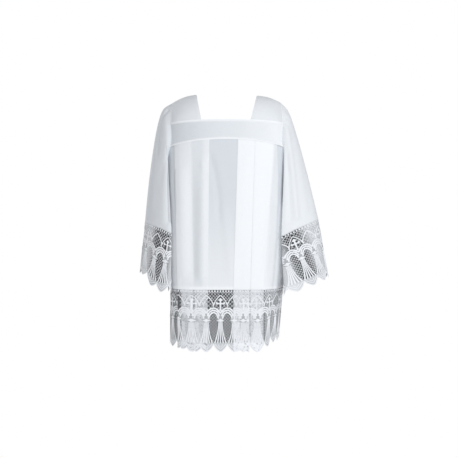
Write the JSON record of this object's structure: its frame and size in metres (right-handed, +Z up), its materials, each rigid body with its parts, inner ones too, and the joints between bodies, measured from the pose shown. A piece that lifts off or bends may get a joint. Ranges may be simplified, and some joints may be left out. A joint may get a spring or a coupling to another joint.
{
  "type": "surplice",
  "caption": "White clergy surplice in worn form: square neck, pleated body, long wide sleeves, and deep lace at the hem and cuffs.",
  "frame": {"origin": "middle of the neck, level with the tops of the shoulders, where the wearer's shoulders hold it up", "axes": "+X to the viewer's right (the garment's left), -Y to the front, +Z up"},
  "size_m": [0.6457, 0.2746, 0.859],
  "materials": {
    "cloth": "fine plain weave, matt",
    "lace": "embroidered net"
  },
  "bodies": {
    "root": {"yoke_front": "cloth", "yoke_back": "cloth", "strap_left": "cloth", "strap_right": "cloth", "skirt_front": "cloth", "skirt_back": "cloth", "sleeve_left": "cloth", "sleeve_right": "cloth", "hem_lace_front": "lace", "hem_lace_back": "lace", "cuff_lace_left_front": "lace", "cuff_lace_left_back": "lace", "cuff_lace_right_front": "lace", "cuff_lace_right_back": "lace"}
  },
  "joints": []
}
